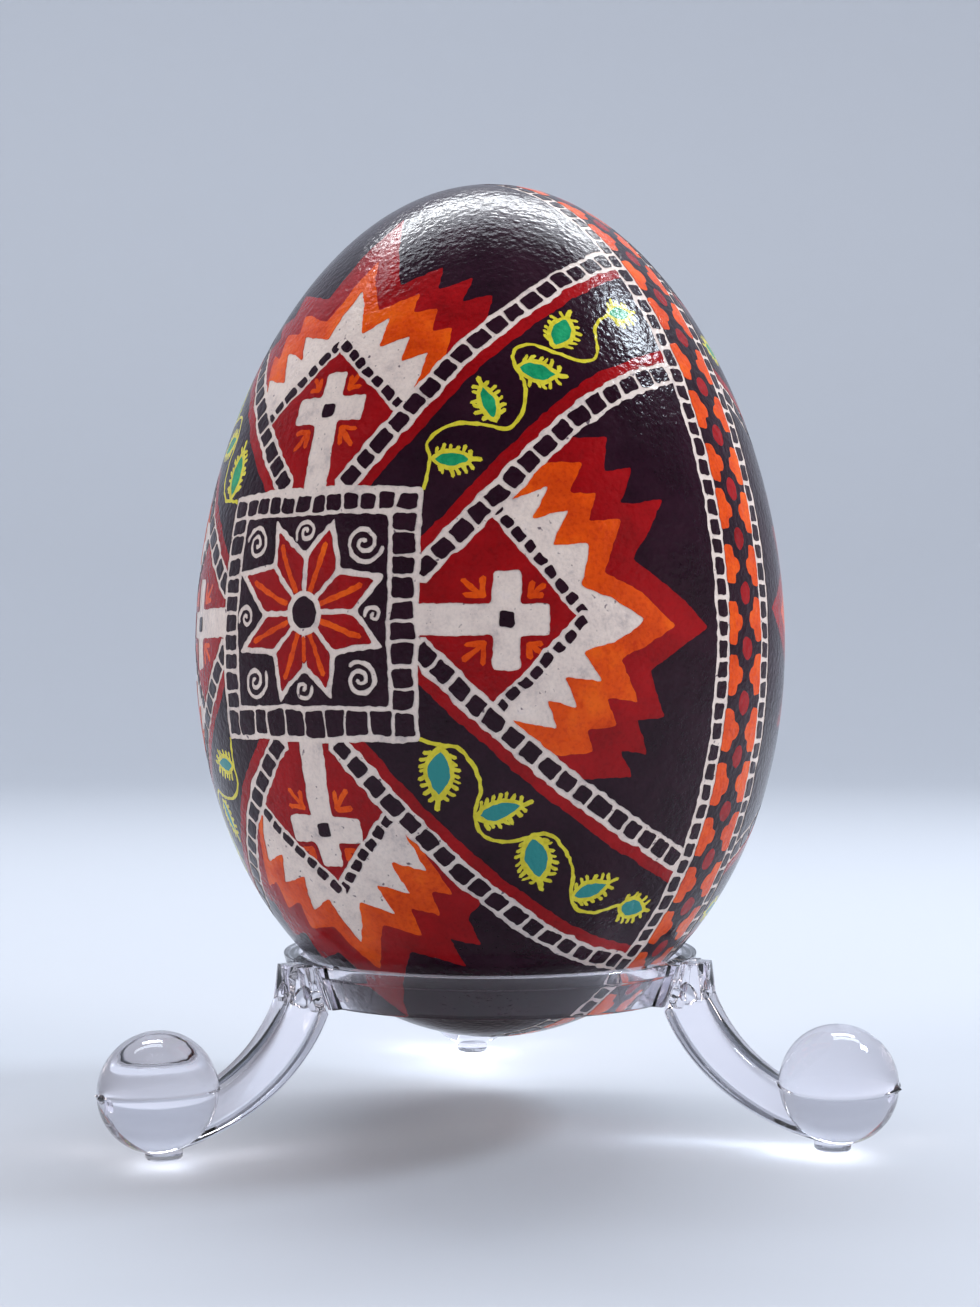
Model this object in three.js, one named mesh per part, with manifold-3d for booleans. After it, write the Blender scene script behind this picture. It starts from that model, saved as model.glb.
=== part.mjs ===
// A decorated goose egg on a clear stand: a ring that the egg sits in, and three curved legs
// with ball feet that snap into the ring.
// Millimetres, +Z up. The feet stand on z = 0 and the back leg points along +Y.

import * as THREE from 'three';
import * as BufferGeometryUtils from 'three/addons/utils/BufferGeometryUtils.js';
import Module from 'manifold-3d';

// ---------------------------------------------------------------- driving dimensions

// Clearance kept between pieces that touch on the real object.
const GAP = 0.3;

// The egg stands with its pointed end up.
const EGG_RADIUS = 30;
const EGG_HALF_HEIGHT = 43.6;
const EGG_CENTRE_Z = 51.75;
// How much slimmer the pointed half is than the blunt half, and how full the two ends are.
const EGG_TAPER = 0.083;
const EGG_FULLNESS = 0.011;
const SHELL_THICKNESS = 0.6;
const MEMBRANE_THICKNESS = 0.3;
const BLOW_HOLE_RADIUS = 1.5;
const EGG_SEGMENTS = 48;
const EGG_ROWS = 20;

// The ring: a thin tapered wall with a lip round its top. The egg rests on its inner top edge.
const RING_TOP_Z = 16.9;
const RING_BOTTOM_Z = 12.65;
const LIP_BOTTOM_Z = 15.6;
const RING_TOP_RADIUS = 21.2;
const LIP_BOTTOM_RADIUS = 20.9;
const WALL_TOP_RADIUS = 20.5;
const WALL_BOTTOM_RADIUS = 19.5;
const WALL_INNER_TOP_RADIUS = 19.6;
const WALL_INNER_BOTTOM_RADIUS = 18.2;
const RING_SEGMENTS = 48;

// Two cheeks on the ring hold the top of each leg between them.
const CHEEK_THICKNESS = 1.0;
const CHEEK_TOP_RADIUS = 21.9;
const CHEEK_BOTTOM_RADIUS = 20.3;
// How far a cheek's root is sunk into the wall.
const CHEEK_ROOT = 0.3;

// The legs: flat curved plates that end in a ball on a small round pad.
const LEG_ANGLES = { leg_front_left: 210, leg_front_right: 330, leg_back: 90 };
const LEG_THICKNESS = 4.0;
const LEG_TOP_RADIUS = 23.25;
const LEG_HEEL_Z = 12.1;
const LEG_CURVE_STEPS = 10;
const BALL_RADIUS = 5.65;
const BALL_CENTRE_RADIUS = 37.0;
const BALL_CENTRE_Z = 6.2;
const BALL_SEGMENTS = 24;
const PAD_RADIUS = 1.75;
const PAD_CENTRE_RADIUS = 36.4;
const PAD_TOP_Z = 1.2;
const PAD_SEGMENTS = 24;

// ---------------------------------------------------------------- solids

const wasm = await Module();
wasm.setup();

function solid(geometry) {
  const bare = geometry.clone();
  bare.deleteAttribute('normal');
  bare.deleteAttribute('uv');
  const merged = BufferGeometryUtils.mergeVertices(bare, 1e-4);
  return new wasm.Manifold(new wasm.Mesh({
    numProp: 3,
    vertProperties: new Float32Array(merged.attributes.position.array),
    triVerts: new Uint32Array(merged.index.array),
  }));
}

function geometryOf(manifold) {
  const mesh = manifold.getMesh();
  const geometry = new THREE.BufferGeometry();
  geometry.setAttribute('position', new THREE.BufferAttribute(mesh.vertProperties, 3));
  geometry.setIndex(new THREE.BufferAttribute(mesh.triVerts, 1));
  geometry.computeVertexNormals();
  return geometry;
}

// A body of revolution about Z from a profile of [radius, z] points.
function turned(profile, segments) {
  const points = profile.map(([radius, z]) => new THREE.Vector2(radius, z));
  const geometry = new THREE.LatheGeometry(points, segments);
  geometry.rotateX(Math.PI / 2);
  return solid(geometry);
}

// A flat plate standing in the X-Z plane, centred on y = offset, from a THREE.Shape of (x, z).
function plate(shape, thickness, offset) {
  const geometry = new THREE.ExtrudeGeometry(shape, { depth: thickness, bevelEnabled: false });
  geometry.rotateX(Math.PI / 2);
  geometry.translate(0, offset + thickness / 2, 0);
  return solid(geometry);
}

function cylinder(radius, height, segments) {
  const geometry = new THREE.CylinderGeometry(radius, radius, height, segments);
  geometry.rotateX(Math.PI / 2);
  return solid(geometry);
}

// ---------------------------------------------------------------- the egg

// A point of the egg's outline, set in from the outer surface, as [radius, z].
// The turn runs from 0 at the blunt bottom to PI at the pointed top.
function eggPoint(turn, inset) {
  const up = -Math.cos(turn);
  const girth = 1 - EGG_TAPER * up + EGG_FULLNESS * up ** 3;
  const girthSlope = -EGG_TAPER + 3 * EGG_FULLNESS * up ** 2;
  const radius = EGG_RADIUS * Math.sin(turn) * girth;
  const alongRadius = EGG_RADIUS * (Math.cos(turn) * girth + Math.sin(turn) ** 2 * girthSlope);
  const alongZ = EGG_HALF_HEIGHT * Math.sin(turn);
  const length = Math.hypot(alongRadius, alongZ);
  const inwardRadius = alongZ / length;
  const inwardZ = alongRadius / length;
  const z = EGG_CENTRE_Z + EGG_HALF_HEIGHT * up;
  return [radius - inset * inwardRadius, z + inset * inwardZ];
}

// A filled egg whose surface lies `inset` inside the outer surface.
function eggBody(inset) {
  const profile = [];
  for (let row = 0; row <= EGG_ROWS; row += 1) {
    const atPole = row === 0 || row === EGG_ROWS;
    const [radius, z] = eggPoint(Math.PI * row / EGG_ROWS, inset);
    profile.push([atPole ? 0 : radius, z]);
  }
  return turned(profile, EGG_SEGMENTS);
}

// A hollow egg with a round hole through the middle of its blunt end.
function hollowEgg(inset, thickness, holeRadius) {
  const drill = cylinder(holeRadius, 4 * SHELL_THICKNESS + 8 * GAP, PAD_SEGMENTS)
    .translate([0, 0, EGG_CENTRE_Z - EGG_HALF_HEIGHT + inset]);
  return eggBody(inset).subtract(eggBody(inset + thickness)).subtract(drill);
}

// ---------------------------------------------------------------- the stand

function standRing() {
  const section = [
    [WALL_INNER_BOTTOM_RADIUS, RING_BOTTOM_Z],
    [WALL_BOTTOM_RADIUS, RING_BOTTOM_Z],
    [WALL_TOP_RADIUS, LIP_BOTTOM_Z],
    [LIP_BOTTOM_RADIUS, LIP_BOTTOM_Z],
    [RING_TOP_RADIUS, RING_TOP_Z],
    [WALL_INNER_TOP_RADIUS, RING_TOP_Z],
    [WALL_INNER_BOTTOM_RADIUS, RING_BOTTOM_Z],
  ];
  let ring = turned(section, RING_SEGMENTS);
  const outline = new THREE.Shape([
    new THREE.Vector2(WALL_BOTTOM_RADIUS - CHEEK_ROOT, RING_BOTTOM_Z),
    new THREE.Vector2(CHEEK_BOTTOM_RADIUS, RING_BOTTOM_Z),
    new THREE.Vector2(CHEEK_TOP_RADIUS, RING_TOP_Z),
    new THREE.Vector2(RING_TOP_RADIUS - CHEEK_ROOT, RING_TOP_Z),
  ]);
  const cheekOffset = LEG_THICKNESS / 2 + GAP + CHEEK_THICKNESS / 2;
  for (const angle of Object.values(LEG_ANGLES)) {
    for (const side of [-1, 1]) {
      const cheek = plate(outline, CHEEK_THICKNESS, side * cheekOffset).rotate([0, 0, angle]);
      ring = ring.add(cheek);
    }
  }
  return ring;
}

// One leg along +X: its plate, ball and pad are a single moulding.
function leg() {
  const outline = new THREE.Shape();
  outline.moveTo(WALL_BOTTOM_RADIUS + GAP, LEG_HEEL_Z);
  outline.bezierCurveTo(21.6, 7.8, 26.8, 2.2, BALL_CENTRE_RADIUS - 0.5, 0.7);
  outline.lineTo(BALL_CENTRE_RADIUS, BALL_CENTRE_Z);
  outline.lineTo(BALL_CENTRE_RADIUS - BALL_RADIUS + 0.2, BALL_CENTRE_Z - 0.2);
  outline.bezierCurveTo(27.2, 8.0, 23.9, 12.2, LEG_TOP_RADIUS, RING_TOP_Z);
  outline.lineTo(RING_TOP_RADIUS + GAP, RING_TOP_Z);
  outline.lineTo(LIP_BOTTOM_RADIUS + GAP, LIP_BOTTOM_Z);
  outline.closePath();
  const points = outline.extractPoints(LEG_CURVE_STEPS).shape;
  const ball = new THREE.SphereGeometry(BALL_RADIUS, BALL_SEGMENTS, BALL_SEGMENTS / 2);
  ball.rotateX(Math.PI / 2);
  return plate(new THREE.Shape(points), LEG_THICKNESS, 0)
    .add(solid(ball).translate([BALL_CENTRE_RADIUS, 0, BALL_CENTRE_Z]))
    .add(cylinder(PAD_RADIUS, PAD_TOP_Z, PAD_SEGMENTS).translate([PAD_CENTRE_RADIUS, 0, PAD_TOP_Z / 2]));
}

// ---------------------------------------------------------------- the assembly

const varnishedShell = new THREE.MeshStandardMaterial({ color: 0x1c1218, roughness: 0.2, metalness: 0 });
const driedMembrane = new THREE.MeshStandardMaterial({ color: 0xe8e0d0, roughness: 0.8, metalness: 0 });
const clearPlastic = new THREE.MeshStandardMaterial({
  color: 0xe6e2ec,
  roughness: 0.08,
  metalness: 0,
  transparent: true,
  opacity: 0.35,
});

const group = new THREE.Group();

function addPiece(name, manifold, material, turnDegrees = 0) {
  const mesh = new THREE.Mesh(geometryOf(manifold), material.clone());
  mesh.name = name;
  mesh.rotation.z = THREE.MathUtils.degToRad(turnDegrees);
  group.add(mesh);
}

addPiece('eggshell', hollowEgg(0, SHELL_THICKNESS, BLOW_HOLE_RADIUS), varnishedShell);
addPiece(
  'shell_membrane',
  hollowEgg(SHELL_THICKNESS + GAP, MEMBRANE_THICKNESS, BLOW_HOLE_RADIUS),
  driedMembrane,
);
addPiece('stand_ring', standRing(), clearPlastic);
for (const [name, angle] of Object.entries(LEG_ANGLES)) {
  addPiece(name, leg(), clearPlastic, angle);
}

// The origin is the middle of the object's box, on the surface that it stands on.
const box = new THREE.Box3().setFromObject(group, true);
group.position.set(-(box.min.x + box.max.x) / 2, -(box.min.y + box.max.y) / 2, -box.min.z);
group.updateMatrixWorld(true);

export default group;
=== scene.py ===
import math
import random

import bmesh
import bpy
import numpy as np
from mathutils import Matrix, Vector, noise
from mathutils.geometry import delaunay_2d_cdt


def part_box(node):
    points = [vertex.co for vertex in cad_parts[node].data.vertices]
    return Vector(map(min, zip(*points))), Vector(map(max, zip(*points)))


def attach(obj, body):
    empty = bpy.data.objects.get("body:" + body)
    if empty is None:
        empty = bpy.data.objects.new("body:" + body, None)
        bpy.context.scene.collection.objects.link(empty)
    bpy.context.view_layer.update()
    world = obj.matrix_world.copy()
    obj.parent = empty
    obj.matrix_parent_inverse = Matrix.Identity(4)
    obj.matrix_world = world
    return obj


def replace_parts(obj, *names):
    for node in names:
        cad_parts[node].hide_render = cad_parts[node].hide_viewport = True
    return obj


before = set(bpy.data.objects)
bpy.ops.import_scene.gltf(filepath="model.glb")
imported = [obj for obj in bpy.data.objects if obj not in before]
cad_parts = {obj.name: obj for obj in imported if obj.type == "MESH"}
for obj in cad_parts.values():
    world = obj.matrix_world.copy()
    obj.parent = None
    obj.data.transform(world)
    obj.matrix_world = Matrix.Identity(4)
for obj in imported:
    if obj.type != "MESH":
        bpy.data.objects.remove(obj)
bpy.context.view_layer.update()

# The egg's drawing is laid out in millimetres on the shell, then everything is built in metres.
MM = 0.001

# ------------------------------------------------------------------ the shape of the egg

shell_low, shell_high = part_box("eggshell")
AXIS_X = (shell_low.x + shell_high.x) / 2 / MM
AXIS_Y = (shell_low.y + shell_high.y) / 2 / MM
EGG_RADIUS = (shell_high.x - shell_low.x) / 2 / MM
EGG_HALF_HEIGHT = 43.6
EGG_CENTRE_Z = shell_high.z / MM - EGG_HALF_HEIGHT
# How much slimmer the pointed top half is than the blunt half, and how full the two ends are.
EGG_TAPER = 0.083
EGG_FULLNESS = 0.011
SHELL_THICKNESS = 0.55
# The dyed surface is a thin skin on the shell.
SKIN_THICKNESS = 0.04
BLOW_HOLE_RADIUS = 1.5


def girth(up):
    return 1 - EGG_TAPER * up + EGG_FULLNESS * up**3


def egg_normal(direction):
    """The outward normals of the egg where the unit ball's points in direction land on it."""
    up = direction[:, 2]
    slope = -EGG_TAPER + 3 * EGG_FULLNESS * up**2
    side_squared = 1 - up**2
    normal = direction * EGG_HALF_HEIGHT
    normal[:, 2] = EGG_RADIUS * (up * girth(up) - side_squared * slope)
    return normal / np.linalg.norm(normal, axis=1)[:, None]


def egg_point(direction, inset=0.0):
    """The points of the egg, in millimetres from its centre, that the unit ball's points land on."""
    up = direction[:, 2]
    point = np.empty_like(direction)
    point[:, 0] = EGG_RADIUS * girth(up) * direction[:, 0]
    point[:, 1] = EGG_RADIUS * girth(up) * direction[:, 1]
    point[:, 2] = EGG_HALF_HEIGHT * up
    return point - inset * egg_normal(direction)


def egg_direction(point):
    """The unit ball's points for points on or near the egg: the reverse of egg_point."""
    up = np.clip(point[:, 2] / EGG_HALF_HEIGHT, -1, 1)
    direction = np.empty_like(point)
    direction[:, 0] = point[:, 0] / (EGG_RADIUS * girth(up))
    direction[:, 1] = point[:, 1] / (EGG_RADIUS * girth(up))
    direction[:, 2] = up
    return direction / np.linalg.norm(direction, axis=1)[:, None]


# The distance along a meridian of the egg from its top, for each angle from the top.
MERIDIAN_ANGLES = np.linspace(0, math.pi, 2001)
_meridian = egg_point(
    np.stack([np.sin(MERIDIAN_ANGLES), 0 * MERIDIAN_ANGLES, np.cos(MERIDIAN_ANGLES)], 1)
)
MERIDIAN_ARCS = np.concatenate([[0], np.cumsum(np.linalg.norm(np.diff(_meridian, axis=0), axis=1))])
MERIDIAN_LENGTH = MERIDIAN_ARCS[-1]


def angle_at(arc):
    """The angle from the top of a point that lies this far along a meridian, past the top or before it."""
    return np.sign(arc) * np.interp(np.abs(arc), MERIDIAN_ARCS, MERIDIAN_ANGLES)


# ------------------------------------------------------------------ where the drawing lies

# The middle of the front face, as an angle about the egg's axis; the two faces are nearly opposite.
FRONT_AZIMUTH = math.radians(-127.6)
BACK_AZIMUTH = FRONT_AZIMUTH + math.radians(176)
# The lengthwise band between the faces, over both ends of the egg.
BAND_AZIMUTH = FRONT_AZIMUTH + math.radians(88)


def on_face(azimuth):
    """A function that puts a face's flat drawing on the egg: x along the girth, y up the meridian."""

    def place(flat):
        flat = np.asarray(flat, float)
        turn = azimuth + flat[:, 0] / EGG_RADIUS
        angle = angle_at(MERIDIAN_LENGTH / 2 - flat[:, 1])
        direction = [np.sin(angle) * np.cos(turn), np.sin(angle) * np.sin(turn), np.cos(angle)]
        return egg_point(np.stack(direction, 1))

    return place


def on_band(flat):
    """Puts the band's flat drawing on the egg: x across the band, y along it from the egg's top."""
    flat = np.asarray(flat, float)
    across = flat[:, 0] / EGG_RADIUS
    along = angle_at(flat[:, 1])
    ahead = np.array([math.cos(BAND_AZIMUTH), math.sin(BAND_AZIMUTH), 0])
    aside = np.array([-math.sin(BAND_AZIMUTH), math.cos(BAND_AZIMUTH), 0])
    above = np.array([0, 0, 1])
    middle = np.sin(along)[:, None] * ahead + np.cos(along)[:, None] * above
    direction = np.cos(across)[:, None] * middle + np.sin(across)[:, None] * aside
    return egg_point(direction)


# ------------------------------------------------------------------ lines and outlines on the egg

# How far apart the points of a drawn line are.
LINE_STEP = 0.3
WHITE_LINE = 0.42
# How far a line wanders from its place, over a few millimetres and over a fraction of one.
SLOW_WOBBLE = 0.2
QUICK_WOBBLE = 0.13
hand = random.Random(7)


def spaced(points, step, closed=False):
    """The same line with its points evenly spaced."""
    points = np.asarray(points, float)
    if closed:
        points = np.vstack([points, points[:1]])
    lengths = np.linalg.norm(np.diff(points, axis=0), axis=1)
    distance = np.concatenate([[0], np.cumsum(lengths)])
    count = max(int(round(distance[-1] / step)), 3)
    stations = np.linspace(0, distance[-1], count + 1)
    if closed:
        stations = stations[:-1]
    return np.stack([np.interp(stations, distance, points[:, k]) for k in range(points.shape[1])], 1)


def rounded(points, times=1):
    """A closed outline with its corners eased, as a brush leaves them."""
    for _ in range(times):
        points = (np.roll(points, 1, 0) + 2 * points + np.roll(points, -1, 0)) / 4
    return points


def smooth_path(controls, steps=12):
    """A smooth curve through a few points of a flat drawing."""
    controls = np.asarray(controls, float)
    ends = 2 * controls[:1] - controls[1:2], 2 * controls[-1:] - controls[-2:-1]
    padded = np.vstack([ends[0], controls, ends[1]])
    points = []
    for start in range(len(controls) - 1):
        before, here, there, after = padded[start : start + 4]
        for step in range(steps):
            t = step / steps
            points.append(
                here
                + (there - before) * t / 2
                + (2 * before - 5 * here + 4 * there - after) * t**2 / 2
                + (3 * here - before - 3 * there + after) * t**3 / 2
            )
    points.append(controls[-1])
    return np.array(points)


def sideways(path):
    """The direction to the left of each point of a line on the egg, along the egg's surface."""
    ahead = np.gradient(path, axis=0)
    aside = np.cross(egg_normal(egg_direction(path)), ahead)
    return aside / np.linalg.norm(aside, axis=1)[:, None]


def shifted(path, distance):
    """A line on the egg moved to its left along the surface."""
    return egg_point(egg_direction(path + distance * sideways(path)))


def hand_drawn(points):
    """Points moved a little, as an unsteady hand moves them, so that lines next to each other agree."""
    moved = np.empty_like(points)
    for index, point in enumerate(points):
        slow = noise.noise_vector(Vector(point) / 3.0)
        quick = noise.noise_vector(Vector(point) / 0.6)
        moved[index] = point + SLOW_WOBBLE * np.array(slow) + QUICK_WOBBLE * np.array(quick)
    return moved


shapes = []


def paint(colour, outline):
    """Fills a closed outline on the egg with a colour, over everything painted before."""
    direction = egg_direction(hand_drawn(outline))
    shapes.append((colour, direction[:, :2] / (1 + direction[:, 2:])))


def fill(colour, flat, place, soft=1, step=LINE_STEP):
    """Paints a flat outline given by its corners."""
    corners = np.asarray(flat, float)
    dense = spaced(corners, 0.5 * LINE_STEP, closed=True)
    paint(colour, rounded(spaced(place(dense), step, closed=True), soft))


def stroke(colour, path, width, step=LINE_STEP, taper=1.0):
    """Paints a line of the given width along a path on the egg, with round ends."""
    path = spaced(path, step)
    aside = sideways(path)
    ahead = np.gradient(path, axis=0)
    ahead /= np.linalg.norm(ahead, axis=1)[:, None]
    half = np.empty(len(path))
    for index, point in enumerate(path):
        unsteady = noise.noise(Vector(point) / 0.9 + Vector((width * 40, 0, 0)))
        half[index] = width / 2 * (1 + 0.16 * unsteady)
    half *= np.linspace(1, taper, len(path))
    left = path + half[:, None] * aside
    right = path - half[:, None] * aside
    cap = [path[-1] + half[-1] * ahead[-1] * 0.9]
    tail = [path[0] - half[0] * ahead[0] * 0.9]
    paint(colour, np.vstack([left, cap, right[::-1], tail]))


def ladder(path, width, pitch, line=WHITE_LINE, first=0.5):
    """Two white lines with black cells between them."""
    path = spaced(path, LINE_STEP)
    length = np.linalg.norm(np.diff(path, axis=0), axis=1).sum()
    cells = max(int(round(length / pitch)), 1)
    aside = sideways(path)
    # A long ladder is painted in lengths, so that none of them closes on itself.
    pieces = max(int(length // 30), 1)
    marks = np.linspace(0, len(path) - 1, pieces + 1).astype(int)
    for start, end in zip(marks[:-1], marks[1:]):
        stroke("white", path[start : end + 1], width)
    at = np.linspace(0, len(path) - 1, cells + 1)
    at[1:-1] += [hand.uniform(-0.5, 0.5) for _ in at[1:-1]]
    for start, end in zip(at[:-1], at[1:]):
        gap = line * 0.5 / LINE_STEP
        corners = []
        for station, side in ((start + gap, 1), (end - gap, 1), (end - gap, -1), (start + gap, -1)):
            station = station + hand.uniform(-0.25, 0.25)
            index = np.clip(station, 0, len(path) - 1)
            low = int(index)
            high = min(low + 1, len(path) - 1)
            part = index - low
            point = path[low] * (1 - part) + path[high] * part
            reach = width / 2 - line * hand.uniform(0.85, 1.15)
            corners.append(point + side * reach * aside[low])
        paint("cells", rounded(spaced(corners, 0.22, closed=True)))


# ------------------------------------------------------------------ the drawing of one face


def spiral(place, centre, radius, start, turns=1.8):
    steps = int(turns * 20)
    flat = []
    for step in range(steps + 1):
        share = step / steps
        reach = radius * (0.12 + 0.88 * share)
        turn = math.radians(start) + 2 * math.pi * turns * share
        flat.append((centre[0] + reach * math.cos(turn), centre[1] + reach * math.sin(turn)))
    stroke("white", place(flat), WHITE_LINE, step=0.25)


def inset(polygon, distance):
    """A polygon, given anticlockwise, with its edges moved inward."""
    polygon = np.asarray(polygon, float)
    ahead = np.roll(polygon, -1, 0) - polygon
    ahead /= np.linalg.norm(ahead, axis=1)[:, None]
    inward = np.stack([-ahead[:, 1], ahead[:, 0]], 1)
    bisector = inward + np.roll(inward, 1, 0)
    shrink = 2 / np.maximum((bisector**2).sum(1), 0.6)
    return polygon + distance * shrink[:, None] * bisector


# The star from its own centre: its tips, anticlockwise from the one right of the top, and the
# valley that comes after each tip.
STAR_TIPS = [(2.7, 8.2), (-4.2, 8.3), (-8.9, 3.9), (-8.5, -3.3), (-3.0, -7.9), (2.8, -7.5), (7.9, -3.0), (7.9, 3.2)]
STAR_VALLEYS = [(-0.2, 5.2), (-3.9, 4.4), (-4.9, 0.0), (-3.7, -3.6), (0.0, -5.0), (3.2, -3.6), (5.3, 0.1), (3.6, 3.7)]
STAR_CENTRE = (-0.1, -0.3)
EYE_RADIUS = 1.5
EYE_RING_RADIUS = 2.1


def star(place):
    """The eight-petalled star: red petals with an orange vein, outlined in white, round a black eye."""
    outline = []
    for tip, valley in zip(STAR_TIPS, STAR_VALLEYS):
        outline += [tip, valley]
    outline = np.array(outline)
    fill("white", STAR_CENTRE + inset(outline, -0.26), place)
    for index in range(8):
        before, tip, after = outline[2 * index - 1], outline[2 * index], outline[(2 * index + 1) % 16]
        petal = inset([before, tip, after, (0, 0)], 0.27)
        fill("red", STAR_CENTRE + petal, place, step=0.25)
        vein = np.linspace(0.24, 0.76, 6)[:, None] * tip
        stroke("orange", place(STAR_CENTRE + vein), 0.52)
    # The two lowest petals run into each other, with a short vein between them.
    joint = [(0.3, -2.2), (-0.3, -2.2), (-0.55, -4.0), (-0.05, -4.75), (0.5, -4.0)]
    fill("red", STAR_CENTRE + np.array(joint), place)
    stroke("orange", place(STAR_CENTRE + np.array([(0, -2.3), (-0.02, -3.3), (-0.05, -4.3)])), 0.46)
    ring = np.array([(math.cos(k * math.pi / 8), math.sin(k * math.pi / 8)) for k in range(16)])
    fill("white", STAR_CENTRE + EYE_RING_RADIUS * ring, place)
    fill("black", STAR_CENTRE + EYE_RADIUS * ring, place)


# The square frame's outer edge, anticlockwise from the lower left.
FRAME_OUTSIDE = [(-12.3, -12.0), (11.5, -12.1), (11.6, 11.1), (3.0, 11.4), (-6.0, 11.5), (-12.2, 11.1)]
# Half of the white rung between two of the frame's cells.
HALF_RUNG = 0.16


def square(place):
    """The square frame of black cells, with the star, four corner spirals and four side spirals."""
    fill("white", FRAME_OUTSIDE, place)
    low_x, low_y, high_x, high_y = -11.75, -11.5, 11.05, 10.6
    inner_low_x, inner_low_y, inner_high_x, inner_high_y = -9.7, -9.2, 8.95, 8.95
    cells = []
    for count, start, end, fixed, vertical in (
        (10, inner_low_x, inner_high_x, (inner_high_y + 0.2, high_y), False),
        (8, inner_low_x, inner_high_x, (low_y, inner_low_y), False),
        (10, inner_low_y, inner_high_y, (low_x, inner_low_x), True),
        (9, inner_low_y, inner_high_y, (inner_high_x, high_x), True),
    ):
        marks = np.linspace(start, end, count + 1)
        marks[1:-1] += [hand.uniform(-0.14, 0.14) for _ in marks[1:-1]]
        for before, after in zip(marks[:-1], marks[1:]):
            box = [(before + HALF_RUNG, fixed[0]), (after - HALF_RUNG, fixed[0])]
            box += [(after - HALF_RUNG, fixed[1]), (before + HALF_RUNG, fixed[1])]
            cells.append([(y, x) for x, y in box] if vertical else box)
    for x in ((low_x, inner_low_x - 0.2), (inner_high_x + 0.2, high_x)):
        for y in ((low_y, inner_low_y - 0.2), (inner_high_y + 0.2, high_y)):
            cells.append([(x[0], y[0]), (x[1], y[0]), (x[1], y[1]), (x[0], y[1])])
    for cell in cells:
        skewed = [(x + hand.uniform(-0.1, 0.1), y + hand.uniform(-0.1, 0.1)) for x, y in cell]
        fill("cells", skewed, place, step=0.22)
    fill("black", [(-9.3, -8.75), (8.5, -8.75), (8.45, 8.5), (3, 8.75), (-4, 8.8), (-9.25, 8.6)], place)
    star(place)
    spiral(place, (6.0, 6.0), 2.0, 60)
    spiral(place, (-7.0, 6.3), 1.7, 240)
    spiral(place, (-6.7, -6.5), 1.7, 100)
    spiral(place, (5.9, -6.4), 1.7, 200)
    spiral(place, (-0.4, 7.1), 1.3, 30, 1.5)
    spiral(place, (7.2, -0.5), 0.9, 120, 1.2)
    spiral(place, (-0.2, -7.3), 1.0, 300, 1.2)
    spiral(place, (-7.9, -0.5), 1.2, 60, 1.4)


def across_points(direction, points):
    """Turns points given as (outward, to the left) of a direction from the middle into a face's x, y."""
    ahead = {"right": (1, 0), "up": (0, 1), "left": (-1, 0), "down": (0, -1)}[direction]
    aside = (-ahead[1], ahead[0])
    return [(u * ahead[0] + v * aside[0], u * ahead[1] + v * aside[1]) for u, v in points]


def cross(place, direction, middle, shift):
    """A white cross whose long arm starts at the square, with four orange arrows that point to it."""
    arm, half, bar, end = 11.0, 1.4, 1.3, 3.9
    shape = [
        (arm, half), (middle - bar, half), (middle - bar, 4.5), (middle + bar, 4.5),
        (middle + bar, half), (middle + end, half), (middle + end, -half), (middle + bar, -half),
        (middle + bar, -4.4), (middle - bar, -4.4), (middle - bar, -half), (arm, -half),
    ]
    shape = [(u, v + shift) for u, v in shape]
    for side_u in (-1, 1):
        for side_v in (-1, 1):
            reach = 1.0 if side_u < 0 else 0.7
            head = np.array([middle + side_u * (bar + 0.75), side_v * (half + 0.7) + shift])
            back = head + np.array([side_u * 1.75, side_v * 1.45]) * reach
            barb_u = head + np.array([side_u * 1.55, side_v * 0.1]) * reach
            barb_v = head + np.array([side_u * 0.1, side_v * 1.75]) * reach
            for tail in (back, barb_u, barb_v):
                path = across_points(direction, [tuple(tail), tuple((tail + head) / 2), tuple(head)])
                stroke("orange", place(path), 0.5)
    fill("white", across_points(direction, shape), place)
    eye = [(-0.7, -0.75), (0.7, -0.75), (0.7, 0.75), (-0.7, 0.75)]
    eye = [(middle + u, v + shift) for u, v in eye]
    fill("black", across_points(direction, eye), place, soft=1, step=0.25)


# Each arm's diamond: the two side corners and the far corner, then the flames outside it. A flame is
# given by its tips and notches from one side to the other, in the face's own x and y.
RIGHT_ARM = {
    "corners": [(18.2, 9.4), (26.7, -0.8), (18.4, -9.5)],
    "white": [
        (19.0, 9.6), (23.5, 11.1), (21.8, 8.1), (25.4, 8.9), (23.6, 5.6), (27.1, 5.9), (26.2, 1.9),
        (29.0, 1.1), (32.4, -1.0), (29.3, -3.2), (26.4, -3.8), (28.2, -6.6), (24.7, -6.1), (25.8, -9.0),
        (22.9, -8.3), (24.1, -10.9), (20.0, -10.0),
    ],
    "orange": [
        (20.5, 12.0), (23.0, 13.3), (26.9, 13.5), (25.5, 10.6), (28.2, 10.5), (27.1, 7.9), (30.5, 8.1),
        (28.5, 3.4), (31.9, 1.6), (35.8, -1.4), (32.5, -3.4), (29.9, -4.6), (31.9, -8.5), (28.6, -8.2),
        (29.8, -10.6), (26.8, -10.8), (27.7, -12.9), (23.6, -13.3), (20.5, -12.0),
    ],
    "red": [
        (21.0, 12.4), (26.1, 15.7), (29.9, 15.9), (29.0, 12.6), (32.3, 13.1), (30.5, 9.7), (35.4, 10.2),
        (31.5, 4.5), (35.3, 2.0), (39.9, -1.5), (35.6, -4.0), (33.0, -5.5), (34.9, -9.9), (31.7, -9.9),
        (33.4, -13.3), (30.4, -12.8), (31.8, -15.4), (25.5, -15.4), (21.0, -12.4),
    ],
    "middle": 19.4,
    "shift": -1.05,
}
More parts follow.
